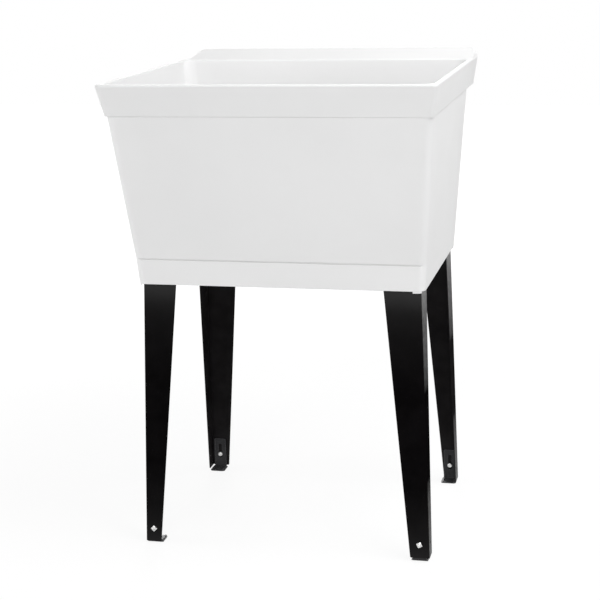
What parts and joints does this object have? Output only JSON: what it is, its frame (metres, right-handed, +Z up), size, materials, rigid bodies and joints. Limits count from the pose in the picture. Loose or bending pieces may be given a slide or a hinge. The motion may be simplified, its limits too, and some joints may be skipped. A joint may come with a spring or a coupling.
{
  "type": "utility laundry sink",
  "caption": "Freestanding moulded plastic laundry tub with a deep tapered basin and rear deck, on splayed steel angle legs with screw-adjusted feet.",
  "frame": {"origin": "middle of the bounding box on the floor, under the middle of the rim", "axes": "+Z up, -Y towards the front where the user stands, +X to the user's right"},
  "size_m": [0.581, 0.5969, 0.8664],
  "materials": {
    "tub_plastic": "satin white moulded thermoplastic",
    "leg_black": "semi-gloss black paint on sheet steel",
    "foot_black": "semi-gloss black paint on stamped steel",
    "fastener_zinc": "bright zinc plated",
    "drain_plastic": "white moulded plastic",
    "seal_rubber": "black rubber",
    "washer_fibre": "pale fibre",
    "stopper_rubber": "white rubber"
  },
  "bodies": {
    "tub_frame": {"tub": "tub_plastic", "leg_front_left": "leg_black", "leg_front_right": "leg_black", "leg_rear_left": "leg_black", "leg_rear_right": "leg_black", "foot_screw_front_left": "fastener_zinc", "foot_screw_front_right": "fastener_zinc", "foot_screw_rear_left": "fastener_zinc", "foot_screw_rear_right": "fastener_zinc", "foot_nut_front_left": "fastener_zinc", "foot_nut_front_right": "fastener_zinc", "foot_nut_rear_left": "fastener_zinc", "foot_nut_rear_right": "fastener_zinc", "drain_body": "drain_plastic", "drain_gasket": "seal_rubber", "drain_friction_washer": "washer_fibre", "drain_locknut": "drain_plastic", "tail_washer": "drain_plastic", "tail_nut": "drain_plastic"},
    "foot_front_left": {"foot_front_left": "foot_black"},
    "foot_front_right": {"foot_front_right": "foot_black"},
    "foot_rear_left": {"foot_rear_left": "foot_black"},
    "foot_rear_right": {"foot_rear_right": "foot_black"},
    "stopper": {"stopper": "stopper_rubber"}
  },
  "joints": [
    {"name": "foot_front_left_slide", "type": "slide", "parent": "tub_frame", "child": "foot_front_left", "axis": [0, -0.0247, -0.9997], "range_m": [0, 0.0205]},
    {"name": "foot_front_right_slide", "type": "slide", "parent": "tub_frame", "child": "foot_front_right", "axis": [0, -0.0371, -0.9993], "range_m": [0, 0.017]},
    {"name": "foot_rear_left_slide", "type": "slide", "parent": "tub_frame", "child": "foot_rear_left", "axis": [0, 0.033, -0.9995], "range_m": [0, 0.02]},
    {"name": "foot_rear_right_slide", "type": "slide", "parent": "tub_frame", "child": "foot_rear_right", "axis": [0, 0.0412, -0.9992], "range_m": [0, 0.0195]},
    {"name": "stopper_lift", "type": "slide", "parent": "tub_frame", "child": "stopper", "axis": [0, 0, 1], "range_m": [0, 0.05]}
  ]
}
